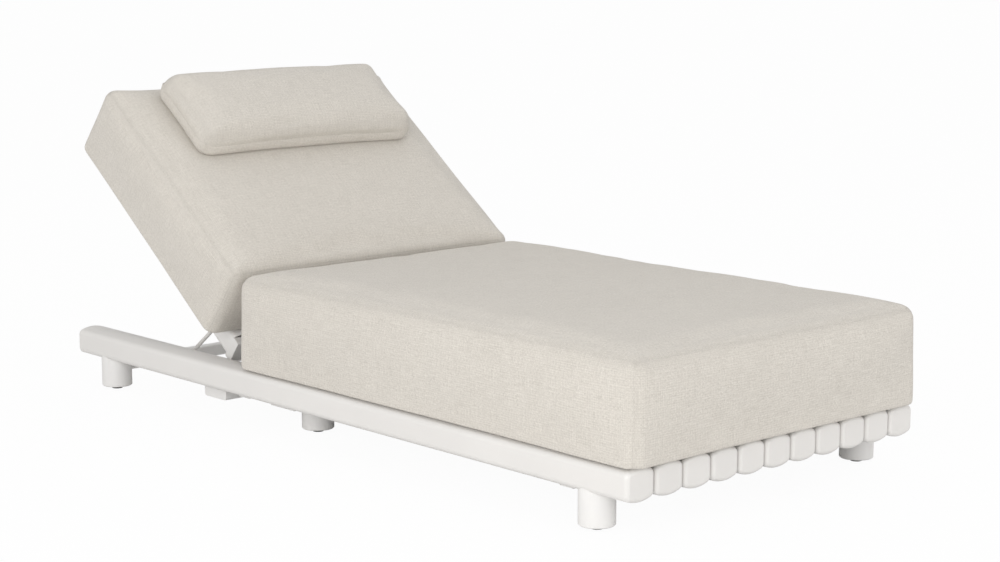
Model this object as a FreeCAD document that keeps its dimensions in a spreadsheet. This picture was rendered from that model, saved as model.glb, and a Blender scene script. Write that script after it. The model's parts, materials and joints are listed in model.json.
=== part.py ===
import FreeCAD, Part
import Sketcher
import math
import os

# Spa relaxation lounger: a slatted tube platform on six round legs, a backrest
# panel that tilts on two hinges behind the seat, a bent rod stay that props the
# panel in two notched racks, and three thick cushions.
# Millimetres. X runs across the width, Y from the foot end to the head end and
# Z up from the floor. The origin is on the floor, below the middle of the footprint.

doc = FreeCAD.newDocument("Lounger")

# Driving dimensions

SIZES = [
    # crowned tube section shared by the rails and all slats
    ("tube_width", 80.0), ("tube_height", 72.0), ("tube_wall", 2.0),
    ("crown_radius", 90.0), ("corner_radius", 14.0), ("slat_gap", 2.0),
    ("end_wall", 14.0), ("end_round", 10.0), ("end_bevel", 3.0),
    ("plug_depth", 4.0), ("plug_fit", 0.2),
    # frame
    ("frame_length", 2020.0), ("seat_slat_length", 1345.0), ("underside_height", 76.0),
    ("tie_thickness", 5.0), ("tie_width", 40.0), ("tie_reach", 420.0),
    ("foot_tie_place", 200.0), ("rear_tie_place", 1315.0), ("mid_tie_width", 90.0),
    ("beam_depth", 90.0), ("beam_height", 28.0), ("beam_round", 8.0), ("beam_wall", 3.0),
    ("beam_front", 1398.0), ("beam_reach", 415.0),
    ("cross_tube_side", 30.0), ("cross_tube_wall", 2.5), ("cross_tube_round", 4.0),
    ("rest_gap", 0.3),
    # legs
    ("leg_diameter", 77.0), ("leg_wall", 3.0), ("leg_plate", 6.0), ("leg_chamfer", 2.0),
    ("leg_setback", 122.0), ("mid_leg_place", 1161.0), ("mid_leg_spread", 316.0),
    ("leg_saddle", 24.0), ("glide_height", 8.0), ("glide_diameter", 30.0),
    ("glide_round", 2.0), ("stem_diameter", 10.0), ("stem_rise", 5.0),
    ("hole_clearance", 0.2),
    # hinges of the backrest
    ("hinge_place", 1387.0), ("hinge_height", 58.0), ("hinge_spread", 205.0),
    ("recline_angle", 37.1), ("pin_diameter", 8.0), ("pin_head_diameter", 13.0),
    ("pin_head_height", 3.0), ("pin_fit", 0.05),
    ("arm_thickness", 8.0), ("arm_eye_radius", 9.0), ("arm_neck", 22.0), ("arm_top", 52.0),
    ("arm_slope", 25.0), ("ear_thickness", 6.0), ("ear_radius", 10.0), ("side_play", 0.5),
    # backrest panel, measured along the panel from the hinge line
    ("base_tube_start", 92.0), ("base_tube_depth", 25.0), ("base_tube_height", 62.0),
    ("base_tube_lift", 4.0), ("base_tube_round", 5.0), ("base_tube_wall", 2.5),
    ("panel_end_gap", 2.0),
    ("upper_bar_place", 560.0), ("upper_bar_reach", 328.0),
    ("bar_thickness", 5.0), ("bar_width", 40.0),
    # stay and racks
    ("stay_length", 230.0), ("rod_diameter", 10.0), ("stay_spread", 322.0),
    ("stay_end_reach", 350.0), ("stay_bend", 12.0), ("foot_bend", 18.0),
    ("stay_ear_thickness", 5.0), ("stay_ear_radius", 9.0), ("rod_fit", 0.1),
    ("rod_cap_diameter", 15.0), ("rod_cap_length", 5.0), ("rod_cap_play", 0.5),
    ("rack_spread", 300.0), ("rack_thickness", 5.0), ("rack_bottom", 39.0),
    ("rack_top", 69.5), ("slot_play", 0.6), ("notch_pitch", 34.0), ("notch_drop", 6.0),
    ("slot_margin", 3.0),
    # cushions
    ("cushion_width", 900.0), ("cushion_gap", 0.3),
    ("seat_cushion_length", 1332.0), ("seat_overhang", 20.0),
    ("seat_thickness", 219.0), ("seat_crown", 9.0), ("seat_round", 44.0),
    ("seat_corner", 44.0), ("seat_swell", 3.0), ("seat_draw", 4.0), ("seat_foot_round", 10.0),
    ("back_cushion_length", 709.0), ("back_cushion_place", 113.0),
    ("back_thickness", 210.0), ("back_crown", 10.0), ("back_round", 38.0),
    ("back_corner", 42.0), ("back_swell", 3.0), ("back_draw", 5.0), ("back_foot_round", 24.0),
    ("pillow_width", 676.0), ("pillow_length", 272.0), ("pillow_thickness", 84.0),
    ("pillow_place", 519.0), ("pillow_crown", 12.0), ("pillow_round", 42.0),
    ("pillow_corner", 44.0), ("pillow_swell", 3.0), ("pillow_draw", 7.0),
    ("pillow_foot_round", 30.0),
]

INNER_SLATS = 9
NOTCHES_UP = 3
NOTCHES_DOWN = 2

sheet = doc.addObject("Spreadsheet::Sheet", "Sizes")
for row, (alias, value) in enumerate(SIZES, start=1):
    sheet.set("A%d" % row, alias)
    sheet.set("B%d" % row, str(value))
    sheet.setAlias("B%d" % row, alias)
doc.recompute()


def size(alias):
    """Value of one driving dimension, in millimetres or degrees."""
    return float(sheet.get(alias))


# Places that several pieces share, as expressions of the driving dimensions

PITCH = "(Sizes.tube_width + Sizes.slat_gap)"
FOOT_Y = "(-(Sizes.frame_length - Sizes.seat_overhang) / 2)"
TUBE_MID_Z = "(Sizes.underside_height + Sizes.tube_height / 2)"
PLATFORM_Z = "(Sizes.underside_height + Sizes.tube_height)"
RAIL_X = "(%s * %d)" % (PITCH, (INNER_SLATS + 1) // 2)
SLATS_X = "(%s * %d + Sizes.tube_width / 2)" % (PITCH, (INNER_SLATS - 1) // 2)
HEAD_LEG_Y = "(Sizes.frame_length - Sizes.leg_setback)"
TILT = "(Sizes.recline_angle * 1 deg)"
PANEL_UNDER = "(Sizes.underside_height - Sizes.hinge_height)"
PANEL_MID = "(%s + Sizes.tube_height / 2)" % PANEL_UNDER
PANEL_TOP = "(%s + Sizes.tube_height)" % PANEL_UNDER
SLAT_START = "(Sizes.base_tube_start + Sizes.base_tube_depth)"
PANEL_LENGTH = "(Sizes.frame_length - Sizes.panel_end_gap - Sizes.hinge_place - %s)" % SLAT_START
FOOT_RUN = "(2 * Sizes.stay_length * cos(%s))" % TILT
ROD_RADIUS = "(Sizes.rod_diameter / 2)"

pieces = []


def keep(piece):
    """Adds a finished sub-part to the list that is written out."""
    pieces.append(piece)
    return piece


def bind(thing, **expressions):
    """Binds properties to expressions; a double underscore in a name stands for a dot."""
    for name, text in expressions.items():
        thing.setExpression(name.replace("__", "."), text)
    return thing


def place(thing, x="0", y="0", z="0"):
    """Puts a piece in the frame, with y measured from the foot end."""
    return bind(thing, Placement__Base__x="(%s) * 1 mm" % x,
                Placement__Base__y="(%s + (%s)) * 1 mm" % (FOOT_Y, y),
                Placement__Base__z="(%s) * 1 mm" % z)


def place_on_panel(thing, x="0", along="0", above="0"):
    """Puts a piece on the raised panel: along it from the hinge line, and above its plane."""
    thing.Placement = FreeCAD.Placement(vec(0, 0), FreeCAD.Rotation(vec(1, 0), 1))
    return bind(thing, Placement__Base__x="(%s) * 1 mm" % x,
                Placement__Base__y="(%s + Sizes.hinge_place + (%s) * cos(%s) - (%s) * sin(%s)) * 1 mm"
                % (FOOT_Y, along, TILT, above, TILT),
                Placement__Base__z="(Sizes.hinge_height + (%s) * sin(%s) + (%s) * cos(%s)) * 1 mm"
                % (along, TILT, above, TILT),
                Placement__Rotation__Angle=TILT)


def vec(x, y, z=0.0):
    return FreeCAD.Vector(x, y, z)


# Small helpers for bodies, sketches and features

def new_body(name):
    body = doc.addObject("PartDesign::Body", name)
    body.Label = name
    return body


def new_sketch(body, name, role, offset=None):
    """Sketch on one of the body's own origin planes, moved along the plane's normal."""
    sketch = body.newObject("Sketcher::SketchObject", body.Name + "_" + name)
    plane = [item for item in body.Origin.OriginFeatures if item.Role == role][0]
    sketch.AttachmentSupport = [(plane, "")]
    sketch.MapMode = "FlatFace"
    if offset:
        bind(sketch, AttachmentOffset__Base__z="(%s) * 1 mm" % offset)
    return sketch


def pad(body, name, sketch, length, reverse=False, both=False):
    made = body.newObject("PartDesign::Pad", body.Name + "_" + name)
    made.Profile = sketch
    made.Reversed = reverse
    made.Midplane = both
    return bind(made, Length=length)


def pocket(body, name, sketch, length, reverse=False, both=False):
    made = body.newObject("PartDesign::Pocket", body.Name + "_" + name)
    made.Profile = sketch
    made.Reversed = reverse
    made.Midplane = both
    return bind(made, Length=length)


def link(*parts):
    return Sketcher.Constraint(*parts)


def drive(sketch, constraint, name, text):
    """Adds a dimension to a sketch and binds it to an expression."""
    index = sketch.addConstraint(constraint)
    sketch.renameConstraint(index, name)
    sketch.setExpression("Constraints." + name, text)


def number(text):
    """Present value of an expression, for the first drawing of a sketch."""
    probe.setExpression("Value", text)
    probe.recompute()
    return float(probe.Value)


probe = doc.addObject("App::FeaturePython", "Probe")
probe.addProperty("App::PropertyFloat", "Value")


def arc(centre_x, centre_y, radius, start, end):
    return Part.ArcOfCircle(Part.Circle(vec(centre_x, centre_y), vec(0, 0, 1), radius), start, end)


def crowned_ring(sketch, name, inset="0"):
    """Crowned section: flat flanks, four corner arcs and two wide crown arcs, all tangent.

    The crown arcs' centres lie below and above the middle by the crown radius less half
    the height, so an inset section keeps them and only its radii and width get smaller.
    """
    half = number("Sizes.tube_width / 2 - (%s)" % inset)
    crown = number("Sizes.crown_radius - (%s)" % inset)
    corner = number("Sizes.corner_radius - (%s)" % inset)
    sink = number("Sizes.crown_radius - Sizes.tube_height / 2")
    side = half - corner
    rise = math.sqrt((crown - corner) ** 2 - side ** 2)
    flank = rise - sink
    lean = math.atan2(rise, side)
    turn = math.pi
    first = sketch.GeometryCount
    sketch.addGeometry([
        Part.LineSegment(vec(half, -flank), vec(half, flank)),
        arc(side, flank, corner, 0, lean),
        arc(0, -sink, crown, lean, turn - lean),
        arc(-side, flank, corner, turn - lean, turn),
        Part.LineSegment(vec(-half, flank), vec(-half, -flank)),
        arc(-side, -flank, corner, turn, turn + lean),
        arc(0, sink, crown, turn + lean, 2 * turn - lean),
        arc(side, -flank, corner, 2 * turn - lean, 2 * turn),
    ])
    for step in range(8):
        sketch.addConstraint(link("Tangent", first + step, 2, first + (step + 1) % 8, 1))
    for line in (0, 4):
        sketch.addConstraint(link("Vertical", first + line))
    for twin in (3, 5, 7):
        sketch.addConstraint(link("Equal", first + 1, first + twin))
    sketch.addConstraint(link("Equal", first + 2, first + 6))
    for wide in (2, 6):
        sketch.addConstraint(link("PointOnObject", first + wide, 3, -2))
    drive(sketch, link("Radius", first + 1, corner), name + "_corner",
          "Sizes.corner_radius - (%s)" % inset)
    drive(sketch, link("Radius", first + 2, crown), name + "_crown",
          "Sizes.crown_radius - (%s)" % inset)
    drive(sketch, link("DistanceY", first + 2, 3, -1, 1, sink), name + "_top",
          "Sizes.crown_radius - Sizes.tube_height / 2")
    drive(sketch, link("DistanceY", -1, 1, first + 6, 3, sink), name + "_foot",
          "Sizes.crown_radius - Sizes.tube_height / 2")
    drive(sketch, link("DistanceX", -1, 1, first, 1, half), name + "_right",
          "Sizes.tube_width / 2 - (%s)" % inset)
    drive(sketch, link("DistanceX", first + 4, 1, -1, 1, half), name + "_left",
          "Sizes.tube_width / 2 - (%s)" % inset)


def rounded_ring(sketch, name, width, height, radius):
    """Rectangle about the sketch's origin with four equal rounded corners."""
    half = number(width) / 2
    tall = number(height) / 2
    bend = number(radius)
    side = half - bend
    flank = tall - bend
    turn = math.pi
    first = sketch.GeometryCount
    sketch.addGeometry([
        Part.LineSegment(vec(half, -flank), vec(half, flank)),
        arc(side, flank, bend, 0, turn / 2),
        Part.LineSegment(vec(side, tall), vec(-side, tall)),
        arc(-side, flank, bend, turn / 2, turn),
        Part.LineSegment(vec(-half, flank), vec(-half, -flank)),
        arc(-side, -flank, bend, turn, 3 * turn / 2),
        Part.LineSegment(vec(-side, -tall), vec(side, -tall)),
        arc(side, -flank, bend, 3 * turn / 2, 2 * turn),
    ])
    for step in range(8):
        sketch.addConstraint(link("Tangent", first + step, 2, first + (step + 1) % 8, 1))
    for twin in (3, 5, 7):
        sketch.addConstraint(link("Equal", first + 1, first + twin))
    sketch.addConstraint(link("Vertical", first))
    sketch.addConstraint(link("Horizontal", first + 2))
    sketch.addConstraint(link("Symmetric", first + 1, 3, first + 5, 3, -1, 1))
    drive(sketch, link("Radius", first + 1, bend), name + "_bend", radius)
    drive(sketch, link("DistanceX", -1, 1, first, 1, half), name + "_half", "(%s) / 2" % width)
    drive(sketch, link("DistanceY", -1, 1, first + 2, 1, tall), name + "_tall", "(%s) / 2" % height)


def circle_at(sketch, name, x, y, radius):
    """Circle with its centre and radius bound to expressions; zero means on the axis."""
    first = sketch.addGeometry(Part.Circle(vec(number(x), number(y)), vec(0, 0, 1), number(radius)))
    drive(sketch, link("Radius", first, number(radius)), name + "_radius", radius)
    for axis, key, text, rule in ((-2, "x", x, "DistanceX"), (-1, "y", y, "DistanceY")):
        if text == "0":
            sketch.addConstraint(link("PointOnObject", first, 3, axis))
        else:
            drive(sketch, link(rule, -1, 1, first, 3, number(text)), name + "_" + key, text)


def outline(sketch, name, corners):
    """Closed outline of straight lines through corners given as pairs of expressions."""
    count = len(corners)
    points = [vec(number(x), number(y)) for x, y in corners]
    first = sketch.GeometryCount
    for step in range(count):
        sketch.addGeometry(Part.LineSegment(points[step], points[(step + 1) % count]))
    for step in range(count):
        sketch.addConstraint(link("Coincident", first + step, 2, first + (step + 1) % count, 1))
    for step, (x, y) in enumerate(corners):
        for axis, key, text, rule in ((-2, "x", x, "DistanceX"), (-1, "y", y, "DistanceY")):
            if text == "0":
                sketch.addConstraint(link("PointOnObject", first + step, 1, axis))
            else:
                drive(sketch, link(rule, -1, 1, first + step, 1, number(text)),
                      "%s_%s%d" % (name, key, step), text)


def edges_at(shape, low, high):
    """Names of the edges whose box lies between two corners."""
    slack = Part.Vertex(0, 0, 0).Tolerance * 100
    names = []
    for index, edge in enumerate(shape.Edges, start=1):
        box = edge.BoundBox
        inside = (box.XMin >= low.x - slack and box.XMax <= high.x + slack
                  and box.YMin >= low.y - slack and box.YMax <= high.y + slack
                  and box.ZMin >= low.z - slack and box.ZMax <= high.z + slack)
        if inside:
            names.append("Edge%d" % index)
    return names


def end_edges(shape, y):
    """Edges that lie in the end plane of a tube that runs along Y."""
    far = shape.BoundBox.DiagonalLength
    return edges_at(shape, vec(-far, y, -far), vec(far, y, far))


# Crowned tubes: the rails and slats. Each is closed at its shown ends by a welded
# cap that is ground smooth, so tube and rounded cap are one piece with a bore inside.

def crowned_tube(name, length, rounded_foot=False, rounded_head=False, bevelled_head=False):
    body = new_body(name)
    section = new_sketch(body, "section", "XZ_Plane")
    crowned_ring(section, "outer")
    solid = pad(body, "length", section, length, reverse=True)
    doc.recompute()
    ends = []
    if rounded_foot:
        ends += end_edges(solid.Shape, 0)
    if rounded_head:
        ends += end_edges(solid.Shape, number(length))
    if bevelled_head:
        bevel = body.newObject("PartDesign::Chamfer", name + "_bevel")
        bevel.Base = (solid, end_edges(solid.Shape, number(length)))
        bind(bevel, Size="Sizes.end_bevel")
    else:
        rounding = body.newObject("PartDesign::Fillet", name + "_ends")
        rounding.Base = (solid, ends)
        bind(rounding, Radius="Sizes.end_round")
    start = "Sizes.end_wall" if rounded_foot else "0"
    inside = [length] + ["Sizes.end_wall"] * (rounded_foot + rounded_head + bevelled_head)
    bore = new_sketch(body, "bore_section", "XZ_Plane", offset="-(%s)" % start)
    crowned_ring(bore, "bore", "Sizes.tube_wall")
    pocket(body, "bore", bore, " - ".join(inside))
    return body


def slat_x(index):
    return "%s * %d" % (PITCH, index - (INNER_SLATS + 1) // 2)


for side, sign in (("left", "-"), ("right", "")):
    rail = crowned_tube("side_rail_" + side, "Sizes.frame_length", True, True)
    keep(place(rail, sign + RAIL_X, "0", TUBE_MID_Z))

for index in range(1, INNER_SLATS + 1):
    slat = crowned_tube("seat_slat_%d" % index, "Sizes.seat_slat_length", rounded_foot=True)
    keep(place(slat, slat_x(index), "0", TUBE_MID_Z))

for index in range(1, INNER_SLATS + 1):
    slat = crowned_tube("back_slat_%d" % index, PANEL_LENGTH, bevelled_head=True)
    keep(place_on_panel(slat, slat_x(index), SLAT_START, PANEL_MID))

# Plastic plugs that close the open rear ends of the seat slats

plugs = []
for index in range(1, INNER_SLATS + 1):
    plug = new_body("seat_slat_plug_%d" % index)
    section = new_sketch(plug, "section", "XZ_Plane")
    crowned_ring(section, "plug", "Sizes.tube_wall + Sizes.plug_fit")
    pad(plug, "depth", section, "Sizes.plug_depth", reverse=True)
    plugs.append(place(plug, slat_x(index), "Sizes.seat_slat_length - Sizes.plug_depth", TUBE_MID_Z))


def group(name, members):
    """One node of several like pieces."""
    made = doc.addObject("Part::Compound", name)
    made.Label = name
    made.Links = members
    return keep(made)


group("seat_slat_plugs", plugs)

# Flat bars welded under the seat slats

def flat_bar(name, width, thickness, half_length):
    """Bar across the lounger, centred, with its top face in its own base plane."""
    bar = new_body(name)
    plan = new_sketch(bar, "plan", "XY_Plane")
    reach = half_length
    outline(plan, "plan", [
        ("(%s)" % reach, "(%s) / 2" % width), ("-(%s)" % reach, "(%s) / 2" % width),
        ("-(%s)" % reach, "-(%s) / 2" % width), ("(%s)" % reach, "-(%s) / 2" % width)])
    pad(bar, "thickness", plan, thickness, reverse=True)
    return bar


for name, width, along in (
        ("foot_tie_bar", "Sizes.tie_width", "Sizes.foot_tie_place"),
        ("middle_tie_bar", "Sizes.mid_tie_width", "Sizes.mid_leg_place"),
        ("rear_tie_bar", "Sizes.tie_width", "Sizes.rear_tie_place")):
    bar = flat_bar(name, width, "Sizes.tie_thickness", "Sizes.tie_reach")
    keep(place(bar, "0", along, "Sizes.underside_height"))


def cross_tube(name, depth, height, bend, wall, half_length, end_wall):
    """Rounded box tube across the lounger, closed at both ends, centred on its section."""
    tube = new_body(name)
    section = new_sketch(tube, "section", "YZ_Plane")
    rounded_ring(section, "outer", depth, height, bend)
    pad(tube, "length", section, "2 * (%s)" % half_length, both=True)
    bore = new_sketch(tube, "bore_section", "YZ_Plane")
    rounded_ring(bore, "bore", "%s - 2 * %s" % (depth, wall), "%s - 2 * %s" % (height, wall),
                 "%s - %s" % (bend, wall))
    pocket(tube, "bore", bore, "2 * (%s) - 2 * %s" % (half_length, end_wall), both=True)
    return tube


# Wide flat beam under the gap between seat and backrest, which carries the hinges

beam = cross_tube("hinge_beam", "Sizes.beam_depth", "Sizes.beam_height", "Sizes.beam_round",
                  "Sizes.beam_wall", "Sizes.beam_reach", "Sizes.beam_wall")
keep(place(beam, "0", "Sizes.beam_front + Sizes.beam_depth / 2",
           "Sizes.underside_height - Sizes.beam_height / 2"))

# Square tube between the head legs, its ends shaped to the legs; the panel rests on it
# when it lies flat

cross = cross_tube("head_cross_tube", "Sizes.cross_tube_side", "Sizes.cross_tube_side",
                   "Sizes.cross_tube_round", "Sizes.cross_tube_wall", RAIL_X,
                   "(%s - %s + Sizes.leg_diameter / 2 + Sizes.cross_tube_wall)" % (RAIL_X, RAIL_X))
saddle = new_sketch(cross, "saddles", "XY_Plane")
for side, sign in (("left", "-"), ("right", "")):
    circle_at(saddle, side, sign + RAIL_X, "0", "Sizes.leg_diameter / 2")
pocket(cross, "saddle_cuts", saddle, "2 * Sizes.cross_tube_side", both=True)
keep(place(cross, "0", HEAD_LEG_Y,
           "Sizes.underside_height - Sizes.rest_gap - Sizes.cross_tube_side / 2"))

# Legs: turned cups, closed by a bottom plate and a top plate. The four corner legs rise
# round the rail's underside and are cut to its section.

LEG_TOP = {"foot": "Sizes.underside_height", "head": "Sizes.underside_height",
           "middle": "(Sizes.underside_height - Sizes.tie_thickness)"}


def leg_cup(name, row):
    body = new_body(name)
    half = new_sketch(body, "half_section", "XZ_Plane")
    top = LEG_TOP[row]
    rim = top if row == "middle" else "(%s + Sizes.leg_saddle)" % top
    outer = "Sizes.leg_diameter / 2"
    inner = "(Sizes.leg_diameter / 2 - Sizes.leg_wall)"
    hole = "(Sizes.stem_diameter / 2 + Sizes.hole_clearance)"
    foot = "Sizes.glide_height"
    corners = [
        (hole, foot), ("%s - Sizes.leg_chamfer" % outer, foot),
        (outer, foot + " + Sizes.leg_chamfer"), (outer, rim)]
    if row != "middle":
        corners += [(inner, rim), (inner, top)]
    corners += [
        ("0", top), ("0", top + " - Sizes.leg_plate"), (inner, top + " - Sizes.leg_plate"),
        (inner, foot + " + Sizes.leg_plate"), (hole, foot + " + Sizes.leg_plate")]
    outline(half, "cup", corners)
    turned = body.newObject("PartDesign::Revolution", name + "_turned")
    turned.Profile = half
    turned.ReferenceAxis = (half, ["V_Axis"])
    if row != "middle":
        rail_cut = new_sketch(body, "rail_section", "XZ_Plane")
        bind(rail_cut, AttachmentOffset__Base__y="%s * 1 mm" % TUBE_MID_Z)
        crowned_ring(rail_cut, "rail")
        pocket(body, "saddle", rail_cut, "2 * Sizes.leg_diameter", both=True)
    return body


def glide(name):
    """Round foot pad with a stem that stands in the leg's bottom plate."""
    body = new_body(name)
    half = new_sketch(body, "half_section", "XZ_Plane")
    pad_radius = "(Sizes.glide_diameter / 2)"
    stem = "(Sizes.stem_diameter / 2)"
    stem_top = "(Sizes.glide_height + Sizes.leg_plate + Sizes.stem_rise)"
    outline(half, "pad", [
        ("0", "0"), ("%s - Sizes.glide_round" % pad_radius, "0"),
        (pad_radius, "Sizes.glide_round"), (pad_radius, "Sizes.glide_height"),
        (stem, "Sizes.glide_height"), (stem, stem_top), ("0", stem_top)])
    turned = body.newObject("PartDesign::Revolution", name + "_turned")
    turned.Profile = half
    turned.ReferenceAxis = (half, ["V_Axis"])
    return body


LEG_ROWS = [("foot", RAIL_X, "Sizes.leg_setback"), ("middle", "Sizes.mid_leg_spread",
            "Sizes.mid_leg_place"), ("head", RAIL_X, HEAD_LEG_Y)]
glides = []
for row, reach, along in LEG_ROWS:
    for side, sign in (("left", "-"), ("right", "")):
        keep(place(leg_cup("leg_%s_%s" % (row, side), row), sign + reach, along))
        glides.append(place(glide("glide_%s_%s" % (row, side)), sign + reach, along))

group("leg_glides", glides)

# Hinges: welded ears in front of the beam, riveted pins, and goose-necked arms that
# reach back over the beam to the panel

PIN_HOLE = "(Sizes.pin_diameter / 2 + Sizes.pin_fit)"
EAR_SHIFT = "(Sizes.arm_thickness / 2 + Sizes.side_play + Sizes.ear_thickness / 2)"
BEAM_FACE = "(Sizes.beam_front - Sizes.hinge_place)"
BEAM_TOP = PANEL_UNDER
BEAM_FOOT = "(%s - Sizes.beam_height)" % PANEL_UNDER


def plate(name, corners, thickness, hole, eye):
    """Upright plate in its own YZ plane: an outline, a round eye at zero and a hole."""
    body = new_body(name)
    shape = new_sketch(body, "outline", "YZ_Plane")
    outline(shape, "web", corners)
    pad(body, "web", shape, thickness, both=True)
    round_eye = new_sketch(body, "eye_outline", "YZ_Plane")
    circle_at(round_eye, "eye", "0", "0", eye)
    pad(body, "eye", round_eye, thickness, both=True)
    bore = new_sketch(body, "hole_outline", "YZ_Plane")
    circle_at(bore, "hole", "0", "0", hole)
    pocket(body, "hole", bore, "2 * (%s)" % thickness, both=True)
    return body


pins = []
for side, sign in (("left", "-"), ("right", "")):
    hinge_x = sign + "Sizes.hinge_spread"
    ears = []
    for number_of_ear, shift in ((1, "-"), (2, "+")):
        ear = plate("hinge_ear_%s_%d" % (side, number_of_ear), [
            ("0", "-Sizes.ear_radius"), (BEAM_FACE, "-Sizes.ear_radius"),
            (BEAM_FACE, "Sizes.ear_radius"), ("0", "Sizes.ear_radius")],
            "Sizes.ear_thickness", PIN_HOLE, "Sizes.ear_radius")
        ears.append(place(ear, "%s %s %s" % (hinge_x, shift, EAR_SHIFT), "Sizes.hinge_place",
                          "Sizes.hinge_height"))
    group("hinge_bracket_" + side, ears)

    pin = new_body("hinge_pin_" + side)
    half = new_sketch(pin, "half_section", "XZ_Plane")
    grip = "(%s + Sizes.ear_thickness / 2 + Sizes.side_play)" % EAR_SHIFT
    head = "(Sizes.pin_head_diameter / 2)"
    shank = "(Sizes.pin_diameter / 2)"
    end = "(%s + Sizes.pin_head_height)" % grip
    outline(half, "rivet", [
        ("-%s" % end, "0"), ("-%s" % end, head), ("-%s" % grip, head), ("-%s" % grip, shank),
        (grip, shank), (grip, head), (end, head), (end, "0")])
    turned = pin.newObject("PartDesign::Revolution", pin.Name + "_turned")
    turned.Profile = half
    turned.ReferenceAxis = (half, ["H_Axis"])
    pins.append(place(pin, hinge_x, "Sizes.hinge_place", "Sizes.hinge_height"))

    arm = plate("hinge_arm_" + side, [
        ("-Sizes.arm_eye_radius", "0"), ("Sizes.arm_eye_radius", "0"),
        ("Sizes.arm_eye_radius", "Sizes.arm_neck"), ("Sizes.base_tube_start", "Sizes.arm_neck"),
        ("Sizes.base_tube_start", "Sizes.arm_top"), ("Sizes.arm_slope", "Sizes.arm_top"),
        ("-Sizes.arm_eye_radius", "Sizes.arm_neck")],
        "Sizes.arm_thickness", PIN_HOLE, "Sizes.arm_eye_radius")
    keep(place_on_panel(arm, hinge_x))
group("hinge_pins", pins)

# Backrest panel: a tube across the slats' lower ends and two flat bars under them

base_tube = cross_tube("panel_base_tube", "Sizes.base_tube_depth", "Sizes.base_tube_height",
                       "Sizes.base_tube_round", "Sizes.base_tube_wall", SLATS_X,
                       "Sizes.base_tube_wall")
keep(place_on_panel(base_tube, "0", "Sizes.base_tube_start + Sizes.base_tube_depth / 2",
                    "%s + Sizes.base_tube_lift + Sizes.base_tube_height / 2" % PANEL_UNDER))

for name, along, reach in (
        ("panel_stay_bar", "Sizes.stay_length", SLATS_X),
        ("panel_upper_bar", "Sizes.upper_bar_place", "Sizes.upper_bar_reach")):
    bar = flat_bar(name, "Sizes.bar_width", "Sizes.bar_thickness", reach)
    keep(place_on_panel(bar, "0", along, PANEL_UNDER))

# Stay: one rod bent into a U, its ends turned out through two ears under the panel.
# The foot run of the U rides in the racks; panel and stay form an isosceles triangle
# with the rack line, so the foot stays level with the hinge line at every angle.

def rod_run(name, length, x, y, turn_axis):
    """Straight stretch of the stay's rod from a point in the stay's own plane."""
    run = doc.addObject("Part::Cylinder", name)
    run.Placement = FreeCAD.Placement(vec(0, 0), FreeCAD.Rotation(turn_axis, 90))
    return bind(run, Radius=ROD_RADIUS, Height=length, Placement__Base__x="(%s) * 1 mm" % x,
                Placement__Base__y="(%s) * 1 mm" % y)


def rod_bend(name, radius, x, y, quarter_turns):
    """Quarter bend of the rod about a centre in the stay's own plane."""
    bend = doc.addObject("Part::Torus", name)
    bend.Angle3 = 90
    bend.Placement = FreeCAD.Placement(vec(0, 0),
                                       FreeCAD.Rotation(vec(0, 0, 1), 90 * quarter_turns))
    return bind(bend, Radius1=radius, Radius2=ROD_RADIUS, Placement__Base__x="(%s) * 1 mm" % x,
                Placement__Base__y="(%s) * 1 mm" % y)


ALONG_X = vec(0, 1)
ALONG_Y = vec(-1, 0)
END_RUN = "(Sizes.stay_end_reach - Sizes.stay_spread - Sizes.stay_bend)"
ARM_RUN = "(Sizes.stay_length - Sizes.stay_bend - Sizes.foot_bend)"
LOW_BEND_X = "(Sizes.stay_spread - Sizes.foot_bend)"
LOW_BEND_Y = "(Sizes.stay_length - Sizes.foot_bend)"
TOP_BEND_X = "(Sizes.stay_spread + Sizes.stay_bend)"
stay = doc.addObject("Part::MultiFuse", "support_stay")
stay.Label = "support_stay"
stay.Shapes = [
    rod_run("stay_end_left", END_RUN, "-Sizes.stay_end_reach", "0", ALONG_X),
    rod_bend("stay_top_bend_left", "Sizes.stay_bend", "-%s" % TOP_BEND_X, "Sizes.stay_bend", 3),
    rod_run("stay_arm_left", ARM_RUN, "-Sizes.stay_spread", "Sizes.stay_bend", ALONG_Y),
    rod_bend("stay_low_bend_left", "Sizes.foot_bend", "-%s" % LOW_BEND_X, LOW_BEND_Y, 1),
    rod_run("stay_foot", "2 * %s" % LOW_BEND_X, "-%s" % LOW_BEND_X, "Sizes.stay_length", ALONG_X),
    rod_bend("stay_low_bend_right", "Sizes.foot_bend", LOW_BEND_X, LOW_BEND_Y, 0),
    rod_run("stay_arm_right", ARM_RUN, "Sizes.stay_spread", "Sizes.stay_bend", ALONG_Y),
    rod_bend("stay_top_bend_right", "Sizes.stay_bend", TOP_BEND_X, "Sizes.stay_bend", 2),
    rod_run("stay_end_right", END_RUN, TOP_BEND_X, "0", ALONG_X),
]
stay.Placement = FreeCAD.Placement(vec(0, 0), FreeCAD.Rotation(vec(-1, 0), 1))
bind(stay, Placement__Rotation__Angle=TILT,
     Placement__Base__y="(%s + Sizes.hinge_place + Sizes.stay_length * cos(%s)) * 1 mm"
     % (FOOT_Y, TILT),
     Placement__Base__z="(Sizes.hinge_height + Sizes.stay_length * sin(%s)) * 1 mm" % TILT)
keep(stay)

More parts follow.
